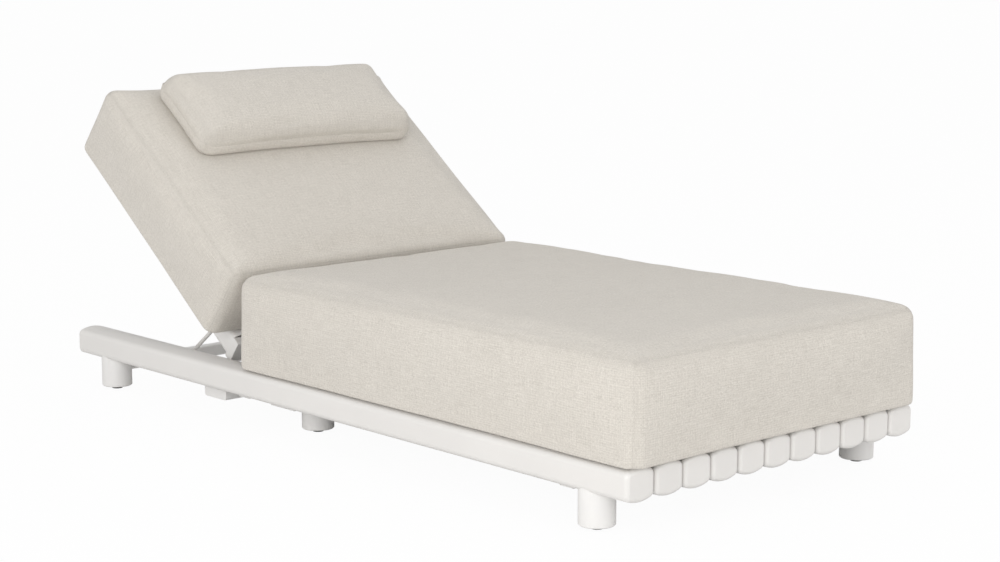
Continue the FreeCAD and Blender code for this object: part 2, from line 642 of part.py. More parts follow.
STAY_EAR_X = "(Sizes.stay_spread + Sizes.stay_bend + Sizes.stay_ear_thickness / 2)"
stay_ears = []
rod_caps = []
for side, sign in (("left", "-"), ("right", "")):
    bar_under = "(%s - Sizes.bar_thickness)" % PANEL_UNDER
    ear = plate("stay_ear_" + side, [
        ("-Sizes.stay_ear_radius", "0"), ("Sizes.stay_ear_radius", "0"),
        ("Sizes.bar_width / 2", bar_under), ("-Sizes.bar_width / 2", bar_under)],
        "Sizes.stay_ear_thickness", "%s + Sizes.rod_fit" % ROD_RADIUS, "Sizes.stay_ear_radius")
    stay_ears.append(place_on_panel(ear, sign + STAY_EAR_X, "Sizes.stay_length"))
    cap = new_body("stay_end_cap_" + side)
    half = new_sketch(cap, "ring", "YZ_Plane")
    circle_at(half, "bore", "0", "0", ROD_RADIUS)
    circle_at(half, "wall", "0", "0", "Sizes.rod_cap_diameter / 2")
    pad(cap, "length", half, "Sizes.rod_cap_length", both=True)
    cap_x = "(%s + Sizes.stay_ear_thickness / 2 + Sizes.rod_cap_play + Sizes.rod_cap_length / 2)"
    rod_caps.append(place_on_panel(cap, sign + cap_x % STAY_EAR_X, "Sizes.stay_length"))
group("stay_brackets", stay_ears)
group("stay_end_caps", rod_caps)

# Racks: upright plates between the beam and the head cross tube, each with a long
# slot for the stay's foot run and a row of notches below it, one for every angle

RACK_START = "(Sizes.beam_front + Sizes.beam_depth)"
RACK_END = "(%s - Sizes.cross_tube_side / 2)" % HEAD_LEG_Y
SLOT_RADIUS = "(%s + Sizes.slot_play)" % ROD_RADIUS
for side, sign in (("left", "-"), ("right", "")):
    rack = new_body("stay_rack_" + side)
    web = new_sketch(rack, "web", "YZ_Plane")
    low = "(Sizes.rack_bottom - Sizes.hinge_height)"
    high = "(Sizes.rack_top - Sizes.hinge_height)"
    near = "(%s - Sizes.hinge_place)" % RACK_START
    far = "(%s - Sizes.hinge_place)" % RACK_END
    outline(web, "web", [(near, low), (far, low), (far, high), (near, high)])
    pad(rack, "web", web, "Sizes.rack_thickness", both=True)
    slot = new_sketch(rack, "slot", "YZ_Plane")
    quarter = math.pi / 2
    slot_near = "(%s - Sizes.notch_pitch * %d - Sizes.slot_margin)" % (FOOT_RUN, NOTCHES_UP)
    slot_far = "(2 * Sizes.stay_length + Sizes.slot_margin)"
    start = number(slot_near)
    stop = number(slot_far)
    wide = number(SLOT_RADIUS)
    slot.addGeometry([
        Part.LineSegment(vec(start, -wide), vec(stop, -wide)),
        arc(stop, 0, wide, 3 * quarter, 5 * quarter),
        Part.LineSegment(vec(stop, wide), vec(start, wide)),
        arc(start, 0, wide, quarter, 3 * quarter),
    ])
    for step in range(4):
        slot.addConstraint(link("Tangent", step, 2, (step + 1) % 4, 1))
    slot.addConstraint(link("PointOnObject", 1, 3, -1))
    slot.addConstraint(link("PointOnObject", 3, 3, -1))
    drive(slot, link("Radius", 3, wide), "slot_radius", SLOT_RADIUS)
    drive(slot, link("DistanceX", -1, 1, 3, 3, start), "slot_near", slot_near)
    drive(slot, link("DistanceX", -1, 1, 1, 3, stop), "slot_far", slot_far)
    pocket(rack, "slot_cut", slot, "2 * Sizes.rack_thickness", both=True)
    notch = new_sketch(rack, "notch", "YZ_Plane")
    circle_at(notch, "dip", "%s - Sizes.notch_pitch * %d" % (FOOT_RUN, NOTCHES_UP),
              "-Sizes.notch_drop", SLOT_RADIUS)
    dip = pocket(rack, "notch_cut", notch, "2 * Sizes.rack_thickness", both=True)
    doc.recompute()
    row_of_dips = rack.newObject("PartDesign::LinearPattern", rack.Name + "_notches")
    row_of_dips.Originals = [dip]
    row_of_dips.Direction = (notch, ["H_Axis"])
    row_of_dips.Occurrences = NOTCHES_UP + NOTCHES_DOWN + 1
    bind(row_of_dips, Length="Sizes.notch_pitch * %d" % (NOTCHES_UP + NOTCHES_DOWN))
    rack.Tip = row_of_dips
    keep(place(rack, sign + "Sizes.rack_spread", "Sizes.hinge_place", "Sizes.hinge_height"))

# Cushions: a loft through rounded outlines, each bowed in a little between its corners.
# The outlines swell to the widest at mid height, turn in over the top edge and climb to
# the crown. Shares give each outline's height and inset in the cushion's own roundings.

OUTLINE_SHARES = [
    # height part, share of it, inset part, share of it
    ("foot", 0.00, "foot", 2.50),
    ("foot", 0.14, "foot", 0.80),
    ("foot", 0.90, "foot", 0.00),
    ("body", 0.50, "swell", -1.00),
    ("edge", 1.00, "edge", 0.00),
    ("edge", 0.30, "edge", 0.26),
    ("crown", 0.05, "middle", 0.02),
    ("crown", 0.62, "middle", 0.20),
    ("crown", 1.00, "middle", 0.55),
]


def bowed_outline(half_x, half_y, corner, draw, height):
    """Rounded rectangle whose four sides bow inwards by draw between the corners."""
    knee = math.sqrt(0.5)
    inner_x = half_x - corner
    inner_y = half_y - corner
    edges = []
    for quarter_turn in range(4):
        spin = FreeCAD.Rotation(vec(0, 0, 1), 90 * quarter_turn)
        across, along = (half_x, half_y) if quarter_turn % 2 == 0 else (half_y, half_x)
        inner = along - corner
        side = [vec(across, -inner, height), vec(across - draw, 0, height),
                vec(across, inner, height)]
        bend = [vec(across, inner, height),
                vec(across - corner + corner * knee, inner + corner * knee, height),
                vec(across - corner, along, height)]
        for points in (side, bend):
            edges.append(Part.Arc(*[spin.multVec(point) for point in points]).toShape())
    return Part.Wire(edges)


def cushion(name, width, length, thickness, kind):
    """Cushion centred on its own base plane, made from the sizes that start with kind."""
    edge = size(kind + "_round")
    foot = size(kind + "_foot_round")
    crown = size(kind + "_crown")
    swell = size(kind + "_swell")
    corner = size(kind + "_corner")
    draw = size(kind + "_draw")
    level = {"foot": lambda share: foot * share,
             "body": lambda share: foot + (thickness - edge - foot) * share,
             "edge": lambda share: thickness - edge * share,
             "crown": lambda share: thickness + crown * share}
    middle = min(width, length) / 2 - swell - edge
    reach_in = {"foot": lambda share: foot * share,
                "swell": lambda share: swell * share,
                "edge": lambda share: edge * share,
                "middle": lambda share: edge + middle * share}
    wires = []
    for height_part, height_share, inset_part, inset_share in OUTLINE_SHARES:
        inset = swell + reach_in[inset_part](inset_share)
        half_x = width / 2 - inset
        half_y = length / 2 - inset
        tight = max(corner - inset / 2, corner / 3)
        slack = draw * min(1.0, half_x / width * 2)
        wires.append(bowed_outline(half_x, half_y, tight, slack, level[height_part](height_share)))
    made = doc.addObject("Part::Feature", name)
    made.Label = name
    made.Shape = Part.makeLoft(wires, True, True)
    return keep(made)


tilt = math.radians(size("recline_angle"))
foot_y = number(FOOT_Y)


def on_panel(along, above):
    """Placement at a point of the raised panel, turned with it."""
    y = foot_y + size("hinge_place") + along * math.cos(tilt) - above * math.sin(tilt)
    z = size("hinge_height") + along * math.sin(tilt) + above * math.cos(tilt)
    return FreeCAD.Placement(vec(0, y, z),
                             FreeCAD.Rotation(vec(1, 0), size("recline_angle")))


seat = cushion("seat_cushion", size("cushion_width"), size("seat_cushion_length"),
               size("seat_thickness"), "seat")
seat_mid = foot_y - size("seat_overhang") + size("seat_cushion_length") / 2
seat.Placement = FreeCAD.Placement(vec(0, seat_mid, number(PLATFORM_Z) + size("cushion_gap")),
                                   FreeCAD.Rotation())

back = cushion("back_cushion", size("cushion_width"), size("back_cushion_length"),
               size("back_thickness"), "back")
back_base = number(PANEL_TOP) + size("cushion_gap")
back.Placement = on_panel(size("back_cushion_place") + size("back_cushion_length") / 2, back_base)

pillow = cushion("head_pillow", size("pillow_width"), size("pillow_length"),
                 size("pillow_thickness"), "pillow")
pillow.Placement = on_panel(size("back_cushion_place") + size("pillow_place"),
                            back_base + size("back_thickness") + size("back_crown")
                            + size("cushion_gap"))

# Checks and files

doc.removeObject("Probe")
doc.recompute()
for thing in doc.Objects:
    if "Invalid" in thing.State or "Error" in thing.State:
        raise RuntimeError("%s did not build: %s" % (thing.Label, thing.State))
for piece in pieces:
    if piece.Shape.isNull() or not piece.Shape.isValid() or piece.Shape.Volume <= 0:
        raise RuntimeError("%s has no valid shape" % piece.Label)

os.makedirs("parts", exist_ok=True)
for piece in pieces:
    piece.Shape.exportStep("parts/%s.step" % piece.Label)
print("%d sub-parts written" % len(pieces))
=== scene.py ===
# %% [markdown]
# A spa lounger: white slatted platform, thick woven cushions and a raised backrest. The CAD
# model already holds the rigid pieces at their true size, so this script dresses them and
# makes the soft pieces anew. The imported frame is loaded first, and its box is kept for a
# comparison of sizes at the end.

# %% Load the frame
import json
import math
import bpy
import numpy as np
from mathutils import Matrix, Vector


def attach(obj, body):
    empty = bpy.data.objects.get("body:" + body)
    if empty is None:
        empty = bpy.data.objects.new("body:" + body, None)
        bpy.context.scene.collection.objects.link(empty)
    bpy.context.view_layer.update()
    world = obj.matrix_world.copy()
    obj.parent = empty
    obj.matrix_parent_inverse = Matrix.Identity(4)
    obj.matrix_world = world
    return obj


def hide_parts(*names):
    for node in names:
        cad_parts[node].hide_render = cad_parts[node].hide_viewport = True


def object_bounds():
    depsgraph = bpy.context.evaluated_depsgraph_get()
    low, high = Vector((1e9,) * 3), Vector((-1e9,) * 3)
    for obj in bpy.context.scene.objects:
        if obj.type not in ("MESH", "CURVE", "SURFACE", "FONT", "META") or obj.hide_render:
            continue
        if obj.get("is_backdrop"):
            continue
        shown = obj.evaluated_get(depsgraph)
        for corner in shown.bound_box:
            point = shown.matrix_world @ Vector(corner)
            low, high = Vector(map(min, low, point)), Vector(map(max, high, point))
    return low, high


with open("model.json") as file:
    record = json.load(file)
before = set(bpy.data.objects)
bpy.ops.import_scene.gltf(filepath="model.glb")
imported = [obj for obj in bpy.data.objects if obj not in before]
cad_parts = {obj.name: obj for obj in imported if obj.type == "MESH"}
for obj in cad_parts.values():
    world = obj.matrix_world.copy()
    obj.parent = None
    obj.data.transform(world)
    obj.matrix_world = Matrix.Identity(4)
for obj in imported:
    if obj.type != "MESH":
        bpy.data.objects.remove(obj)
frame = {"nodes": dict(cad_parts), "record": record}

cad_box = [list(corner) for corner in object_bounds()]
nodes = frame["nodes"]
print("CAD box", [[round(value, 4) for value in corner] for corner in cad_box])

# %% [markdown]
# The camera stands at the photograph's place: low and to the left of the foot end, with a
# long lens. It could be placed by eye, but here its place, heading and lens were solved from
# the straight edges of the slats and cushions, so that outlines can be compared. The heading
# is measured from +Y towards +X and the tilt below the horizon.

# %% Camera
HEADING = math.radians(42.11)
TILT_DOWN = math.radians(9.455)
camera_data = bpy.data.cameras.new("camera")
camera_data.sensor_width = 36.0
camera_data.lens = 76.87
camera = bpy.data.objects.new("camera", camera_data)
bpy.context.scene.collection.objects.link(camera)
camera.location = (-3.3227, -3.8117, 1.1884)
sight = Vector((math.sin(HEADING) * math.cos(TILT_DOWN),
                math.cos(HEADING) * math.cos(TILT_DOWN), -math.sin(TILT_DOWN)))
camera.rotation_euler = sight.to_track_quat("-Z", "Y").to_euler()
bpy.context.scene.camera = camera
bpy.context.scene.view_settings.view_transform = "Standard"
print("camera looks along", [round(value, 3) for value in sight])

# %% [markdown]
# Small helpers make node groups: a group takes coordinates and gives colour, roughness and
# a normal, and the shader that uses them stays outside the group. The nodes could be laid
# out one by one, but with helpers each finish is only the few lines that describe it.

# %% Node helpers
def new_group(name, inputs, outputs):
    """Node group with its sockets; inputs and outputs are (name, kind, default) rows."""
    tree = bpy.data.node_groups.new(name, "ShaderNodeTree")
    for direction, rows in (("INPUT", inputs), ("OUTPUT", outputs)):
        for label, kind, default in rows:
            socket = tree.interface.new_socket(name=label, in_out=direction, socket_type=kind)
            if default is not None:
                socket.default_value = default
    return tree, tree.nodes.new("NodeGroupInput"), tree.nodes.new("NodeGroupOutput")


class Sums:
    """Arithmetic on node sockets: each call adds one Math node and gives its output."""

    def __init__(self, tree):
        self.tree = tree

    def __call__(self, operation, *values):
        node = self.tree.nodes.new("ShaderNodeMath")
        node.operation = operation
        for slot, value in zip(node.inputs, values):
            if isinstance(value, (int, float)):
                slot.default_value = value
            else:
                self.tree.links.new(value, slot)
        return node.outputs[0]


def add_noise(tree, vector, scale, detail=2.0, rough=0.5):
    """Noise texture on a vector socket; gives its factor, from 0 to 1."""
    node = tree.nodes.new("ShaderNodeTexNoise")
    node.inputs["Scale"].default_value = scale
    node.inputs["Detail"].default_value = detail
    node.inputs["Roughness"].default_value = rough
    tree.links.new(vector, node.inputs["Vector"])
    return node.outputs["Fac"]


def mix_colour(tree, factor, one, two, blend="MIX"):
    """Colour mix; factor and colours are sockets or plain values. A Mix node keeps its
    colours in inputs 6 and 7 and their mix in output 2."""
    node = tree.nodes.new("ShaderNodeMix")
    node.data_type = "RGBA"
    node.blend_type = blend
    for key, value in ((0, factor), (6, one), (7, two)):
        slot = node.inputs[key]
        if isinstance(value, (int, float, tuple)):
            slot.default_value = value
        else:
            tree.links.new(value, slot)
    return node.outputs[2]


def add_bump(tree, height, strength, distance):
    """Bump from a height socket; distance is in metres."""
    node = tree.nodes.new("ShaderNodeBump")
    node.inputs["Strength"].default_value = strength
    node.inputs["Distance"].default_value = distance
    tree.links.new(height, node.inputs["Height"])
    return node.outputs["Normal"]


def spread(tree, source, low, high, out_low, out_high):
    """Maps a range of a socket to another range, clamped; inputs 1 to 4 are the limits."""
    node = tree.nodes.new("ShaderNodeMapRange")
    for key, value in ((1, low), (2, high), (3, out_low), (4, out_high)):
        node.inputs[key].default_value = value
    tree.links.new(source, node.inputs[0])
    return node.outputs[0]


def new_material(name, tree, source, wires, **constants):
    """Material with one surface group; wires pairs group outputs with shader inputs."""
    material = bpy.data.materials.new(name)
    material.use_nodes = True
    graph = material.node_tree
    shader = graph.nodes["Principled BSDF"]
    for label, value in constants.items():
        shader.inputs[label.replace("_", " ")].default_value = value
    surface = graph.nodes.new("ShaderNodeGroup")
    surface.node_tree = tree
    for label, (kind, output) in source.items():
        node = graph.nodes.new(kind)
        if kind == "ShaderNodeAttribute":
            node.attribute_name = output
            graph.links.new(node.outputs["Fac"], surface.inputs[label])
        else:
            graph.links.new(node.outputs[output], surface.inputs[label])
    for label, target in wires.items():
        graph.links.new(surface.outputs[label], shader.inputs[target])
    return material


COLOUR, NUMBER, VECTOR = "NodeSocketColor", "NodeSocketFloat", "NodeSocketVector"
SURFACE = [("Color", COLOUR, None), ("Roughness", NUMBER, None), ("Normal", VECTOR, None)]
SURFACE_WIRES = {"Color": "Base Color", "Roughness": "Roughness", "Normal": "Normal"}

# %% [markdown]
# The real frame is tube with a baked powder coat, almost white. One flat colour would look
# like plastic: a real coat has a fine orange peel, a slight drift in tone, and a thin
# brighter line where it is rubbed along convex edges. Three noises and the mesh's
# pointiness give these, and they need no unwrapped mesh.

# %% Powder coat
coat_tree, coat_in, coat_out = new_group(
    "PowderCoat",
    [("Place", VECTOR, None), ("Edge", NUMBER, 0.5), ("Paint", COLOUR, (0.74, 0.72, 0.695, 1.0))],
    SURFACE)
sums = Sums(coat_tree)
drift = add_noise(coat_tree, coat_in.outputs["Place"], 5.0, 3.0)
peel = add_noise(coat_tree, coat_in.outputs["Place"], 650.0, 1.0)
grain = add_noise(coat_tree, coat_in.outputs["Place"], 1700.0, 0.0)
tone = spread(coat_tree, drift, 0.3, 0.7, 0.965, 1.0)
painted = mix_colour(coat_tree, 1.0, coat_in.outputs["Paint"],
                     mix_colour(coat_tree, tone, (0.0, 0.0, 0.0, 1.0), (1.0, 1.0, 1.0, 1.0)),
                     "MULTIPLY")
rub = spread(coat_tree, coat_in.outputs["Edge"], 0.52, 0.62, 0.0, 0.35)
coat_tree.links.new(mix_colour(coat_tree, rub, painted, (0.88, 0.88, 0.88, 1.0)),
                    coat_out.inputs["Color"])
coat_tree.links.new(spread(coat_tree, drift, 0.3, 0.7, 0.38, 0.47), coat_out.inputs["Roughness"])
relief = sums("ADD", sums("MULTIPLY", peel, 0.8), sums("MULTIPLY", grain, 0.2))
coat_tree.links.new(add_bump(coat_tree, relief, 0.25, 0.00025), coat_out.inputs["Normal"])
coat = new_material("powder_coat", coat_tree,
                    {"Place": ("ShaderNodeTexCoord", "Object"),
                     "Edge": ("ShaderNodeNewGeometry", "Pointiness")}, SURFACE_WIRES)
print("powder coat has", len(coat_tree.nodes), "nodes")

# %% [markdown]
# Zinc plate on the hinge pins: grey metal with cloudy patches and a fine grain. Moulded
# plastic on the glides, plugs and caps: near black with a fine leathery grain. These pieces
# are small and half hidden, so two noises each are enough.

# %% Zinc and plastic
zinc_tree, zinc_in, zinc_out = new_group("ZincPlate", [("Place", VECTOR, None)], SURFACE)
clouds = add_noise(zinc_tree, zinc_in.outputs["Place"], 60.0, 4.0)
fine_grain = add_noise(zinc_tree, zinc_in.outputs["Place"], 900.0, 1.0)
zinc_tree.links.new(mix_colour(zinc_tree, clouds, (0.66, 0.67, 0.68, 1.0), (0.80, 0.80, 0.80, 1.0)),
                    zinc_out.inputs["Color"])
zinc_tree.links.new(spread(zinc_tree, clouds, 0.3, 0.7, 0.26, 0.42), zinc_out.inputs["Roughness"])
zinc_tree.links.new(add_bump(zinc_tree, fine_grain, 0.3, 0.0001), zinc_out.inputs["Normal"])
zinc = new_material("zinc_plate", zinc_tree, {"Place": ("ShaderNodeTexCoord", "Object")},
                    SURFACE_WIRES, Metallic=0.9)

moulded_tree, moulded_in, moulded_out = new_group("Moulded", [("Place", VECTOR, None)], SURFACE)
specks = add_noise(moulded_tree, moulded_in.outputs["Place"], 1200.0, 2.0)
haze = add_noise(moulded_tree, moulded_in.outputs["Place"], 80.0, 2.0)
moulded_tree.links.new(mix_colour(moulded_tree, haze, (0.010, 0.010, 0.011, 1.0),
                                  (0.024, 0.024, 0.025, 1.0)), moulded_out.inputs["Color"])
moulded_tree.links.new(spread(moulded_tree, haze, 0.3, 0.7, 0.42, 0.58),
                       moulded_out.inputs["Roughness"])
moulded_tree.links.new(add_bump(moulded_tree, specks, 0.4, 0.0002), moulded_out.inputs["Normal"])
moulded = new_material("moulded_plastic", moulded_tree,
                       {"Place": ("ShaderNodeTexCoord", "Object")}, SURFACE_WIRES)
print("zinc plate has", len(zinc_tree.nodes), "nodes, plastic", len(moulded_tree.nodes))

# %% [markdown]
# Outdoor cloth in a basket weave. A picture of cloth would repeat and blur up close, so the
# weave is worked out from the cloth's own coordinates, in metres. In each square cell two
# threads run over two others, and the direction swaps from cell to cell. Height over a cell
# is the threads' round backs times the arch they make between the places where they dive
# under, and it also paints shade into the colour, darker where the threads dive under. The
# threads vary in tone, single slubs are lighter, and each seam is a faint groove with a row
# of stitches, with painted shade darkening the groove.

# %% Basket weave
CELL = 0.0048
SEAM_WIDTH, STITCH_ROW, STITCH_HALF_WIDTH = 0.0030, 0.0065, 0.0008
STITCH_PITCH, STITCH_SHARE = 0.0055, 0.62
THREAD_FINE, THREAD_LONG = 480.0, 22.0
HEIGHT_PAINTED_SHADE, SLUB_TONE, FUZZ_TONE, CLOUD_TONE = 0.34, 0.62, 0.42, 0.10
GROOVE_PAINTED_SHADE, STITCH_TONE = 0.05, 0.12
HEIGHT_RELIEF, SLUB_RELIEF, GROOVE_RELIEF, STITCH_RELIEF = 0.55, 0.25, 0.5, 0.25
weave_tree, weave_in, weave_out = new_group(
    "BasketWeave",
    [("Cloth", VECTOR, None), ("Seam", NUMBER, 1.0), ("Run", NUMBER, 0.0),
     ("Light thread", COLOUR, (0.80, 0.757, 0.690, 1.0)),
     ("Dark thread and painted shade", COLOUR, (0.44, 0.405, 0.355, 1.0))],
    SURFACE)
sums = Sums(weave_tree)
split = weave_tree.nodes.new("ShaderNodeSeparateXYZ")
weave_tree.links.new(weave_in.outputs["Cloth"], split.inputs[0])
across = sums("DIVIDE", split.outputs["X"], CELL)
along = sums("DIVIDE", split.outputs["Y"], CELL)
part_u = sums("FRACT", across)
part_v = sums("FRACT", along)
column = sums("FLOOR", across)
line = sums("FLOOR", along)
parity = sums("FLOORED_MODULO", sums("ADD", column, line), 2.0)


def thread_height(over, arch):
    """Two round threads across a cell, arched along it: |sin 2 pi over| * sin(pi arch)^0.6."""
    backs = sums("ABSOLUTE", sums("SINE", sums("MULTIPLY", over, 2.0 * math.pi)))
    arched = sums("POWER", sums("SINE", sums("MULTIPLY", arch, math.pi)), 0.6)
    return sums("MULTIPLY", backs, arched)


warp = thread_height(part_u, part_v)
weft = thread_height(part_v, part_u)
height = sums("ADD", sums("MULTIPLY", warp, parity),
              sums("MULTIPLY", weft, sums("SUBTRACT", 1.0, parity)))


def stretched(u_scale, v_scale):
    """Cloth coordinates stretched into streaks along one set of threads."""
    joined = weave_tree.nodes.new("ShaderNodeCombineXYZ")
    weave_tree.links.new(sums("MULTIPLY", split.outputs["X"], u_scale), joined.inputs[0])
    weave_tree.links.new(sums("MULTIPLY", split.outputs["Y"], v_scale), joined.inputs[1])
    return joined.outputs[0]


warp_streak = add_noise(weave_tree, stretched(THREAD_FINE, THREAD_LONG), 1.0, 1.0)
weft_streak = add_noise(weave_tree, stretched(THREAD_LONG, THREAD_FINE), 1.0, 1.0)
slub = sums("ADD", sums("MULTIPLY", warp_streak, parity),
            sums("MULTIPLY", weft_streak, sums("SUBTRACT", 1.0, parity)))
cloud = add_noise(weave_tree, weave_in.outputs["Cloth"], 6.0, 3.0)
fuzz = add_noise(weave_tree, weave_in.outputs["Cloth"], 190.0, 2.0)
# painted shade: thread height lightens the threads' backs and darkens the dips between them
lightness = sums("ADD", sums("MULTIPLY", height, HEIGHT_PAINTED_SHADE), sums("MULTIPLY", slub, SLUB_TONE))
lightness = sums("ADD", lightness, sums("ADD", sums("MULTIPLY", fuzz, FUZZ_TONE),
                                        sums("MULTIPLY", cloud, CLOUD_TONE)))
# the dark colour serves both darker yarn and the painted shade in the dips
yarn_with_painted_shade = mix_colour(weave_tree, spread(weave_tree, lightness, 0.30, 1.05, 0.0, 1.0),
                  weave_in.outputs["Dark thread and painted shade"], weave_in.outputs["Light thread"])
groove = spread(weave_tree, weave_in.outputs["Seam"], 0.0, SEAM_WIDTH, 0.0, 1.0)
offset = sums("ABSOLUTE", sums("SUBTRACT", weave_in.outputs["Seam"], STITCH_ROW))
on_line = sums("LESS_THAN", offset, STITCH_HALF_WIDTH)
along_row = sums("FRACT", sums("DIVIDE", weave_in.outputs["Run"], STITCH_PITCH))
dash = sums("LESS_THAN", along_row, STITCH_SHARE)
stitch = sums("MULTIPLY", on_line, dash)
# painted shade: the colour darkens towards each seam, inside its groove
groove_painted_shade = sums("MULTIPLY", sums("SUBTRACT", 1.0, groove), GROOVE_PAINTED_SHADE)
shaded = mix_colour(weave_tree, groove_painted_shade, yarn_with_painted_shade, (0.36, 0.33, 0.29, 1.0))
weave_tree.links.new(mix_colour(weave_tree, sums("MULTIPLY", stitch, STITCH_TONE), shaded,
                                (0.74, 0.70, 0.64, 1.0)), weave_out.inputs["Color"])
weave_tree.links.new(spread(weave_tree, height, 0.0, 1.0, 0.95, 0.80),
                     weave_out.inputs["Roughness"])
relief = sums("ADD", sums("ADD", sums("MULTIPLY", height, HEIGHT_RELIEF),
                          sums("MULTIPLY", slub, SLUB_RELIEF)),
              sums("ADD", sums("MULTIPLY", groove, GROOVE_RELIEF),
                   sums("MULTIPLY", stitch, STITCH_RELIEF)))
weave_tree.links.new(add_bump(weave_tree, relief, 0.9, 0.0012), weave_out.inputs["Normal"])
weave = new_material("basket_weave", weave_tree,
                     {"Cloth": ("ShaderNodeUVMap", "UV"),
                      "Seam": ("ShaderNodeAttribute", "seam"),
                      "Run": ("ShaderNodeAttribute", "run")}, SURFACE_WIRES,
                     Sheen_Weight=0.25, Sheen_Roughness=0.5, Specular_IOR_Level=0.25)
print("basket weave has", len(weave_tree.nodes), "nodes, cells of", round(1000 * CELL, 1), "mm")

# %% [markdown]
# Tubes, legs and linkage are already right in CAD. They could be modelled again here, but
# that would only move them away from the sizes that work, so they keep their shapes and get
# these materials by the record's slots.

# %% Materials on the CAD pieces
BY_SLOT = {"frame_white": coat, "zinc_steel": zinc, "black_plastic": moulded,
           "woven_beige": weave}
dressed = 0
for row in frame["record"]["subparts"]:
    piece = nodes[row["node"]]
    if not piece.material_slots:
        piece.data.materials.append(None)
    for holder in piece.material_slots:
        holder.link = "OBJECT"
        holder.material = BY_SLOT[row["material_slot"]]
    dressed += 1
print(dressed, "CAD pieces dressed")

# %% [markdown]
# A real cushion of this kind is a cover of six panels, sewn round a block of foam. A bevelled
# cube would do for its outline, but not for its cloth. So it starts as the six faces of a
# box, each a grid that is finer near the edges. Each point's place in the rounding zone is a
# direction with parts from -1 to 1; scaled to length one, it puts the point on rounded edges
# and corners. The flat coordinates of each face are kept as the cloth's own, in metres, so
# each face is a cut panel of fabric.

# %% Grid of a cushion's six panels
FINE_LINES, FEWEST_CELLS, PANEL_SPACING = 7, 4, 3.0


def cut_lines(half, zone, step):
    """Grid lines from -half to half: FINE_LINES over the zone at either end, and between
    the zones even steps of about the given length."""
    fine = np.linspace(0.0, zone, FINE_LINES)
    count = max(int(round((2 * half - 2 * zone) / step)), FEWEST_CELLS)
    middle = np.linspace(-half + zone, half - zone, count + 1)
    return np.concatenate([-half + fine, middle[1:-1], half - fine[::-1]])


def panel_grid(half, zones, step):
    """Six flat grids, one for each face of a box with half sizes half.

    Gives points, quads, cloth coordinates, and for each point the distance to the nearest
    edge of its face and its place along that edge."""
    lines = [cut_lines(half[axis], zones[axis], step) for axis in range(3)]
    points, quads, cloth, seams, runs = [], [], [], [], []
    start = 0
    for axis in range(3):
        one, two = [other for other in range(3) if other != axis]
        for sign in (-1.0, 1.0):
            first, second = np.meshgrid(lines[one], lines[two], indexing="ij")
            block = np.zeros((first.size, 3))
            block[:, axis] = sign * half[axis]
            block[:, one] = first.ravel()
            block[:, two] = second.ravel()
            rows, columns = first.shape
            index = np.arange(rows * columns).reshape(rows, columns) + start
            quad = np.stack([index[:-1, :-1], index[1:, :-1], index[1:, 1:], index[:-1, 1:]], -1)
            quad = quad.reshape(-1, 4)
            outward = (sign > 0) == (axis != 1)
            quads.append(quad if outward else quad[:, ::-1])
            points.append(block)
            flat = np.stack([first.ravel(), second.ravel()], -1)
            cloth.append(flat + PANEL_SPACING * (axis + 1))
            to_one = half[one] - np.abs(block[:, one])
            to_two = half[two] - np.abs(block[:, two])
            seams.append(np.minimum(to_one, to_two))
            runs.append(np.where(to_one < to_two, block[:, two], block[:, one]))
            start += rows * columns
    return [np.concatenate(items) for items in (points, quads, cloth, seams, runs)]


# %% [markdown]
# Foam in a tight cover has rounded edges, a crown that rises from the edges to a broad
# plateau, sides that swell at mid height and bow in between the corners, and slow waves of a
# millimetre or so. Sculpting could give all that, but a formula gives each its own measure
# in millimetres and the same result each run. Where a cushion asks for it, the underside
# lifts a little near its edges off what it lies on.

# %% Form of a cushion
LIFT_REACH = 0.050
WAVE_COUNT, SHORTEST_WAVE, LONGEST_WAVE, WAVE_SINK = 6, 0.15, 0.7, 0.3


def slow_waves(points, reach, seed):
    """Mean of some sines along random directions, times reach. Their wavelengths are in
    metres, and the seed fixes directions, wavelengths and phases."""
    rng = np.random.default_rng(seed)
    total = np.zeros(len(points))
    for _ in range(WAVE_COUNT):
        direction = rng.normal(size=3)
        direction /= np.linalg.norm(direction)
        length = rng.uniform(SHORTEST_WAVE, LONGEST_WAVE)
        total += np.sin(points @ direction * 2 * math.pi / length + rng.uniform(0, 2 * math.pi))
    return total / WAVE_COUNT * reach


def crown_share(x, y, half_x, half_y):
    """Height share of the crown: (1 - x^4) (1 - y^4) with x and y as shares of the half sizes."""
    u = np.clip(np.abs(x) / half_x, 0, 1)
    v = np.clip(np.abs(y) / half_y, 0, 1)
    return (1 - u ** 4) * (1 - v ** 4)


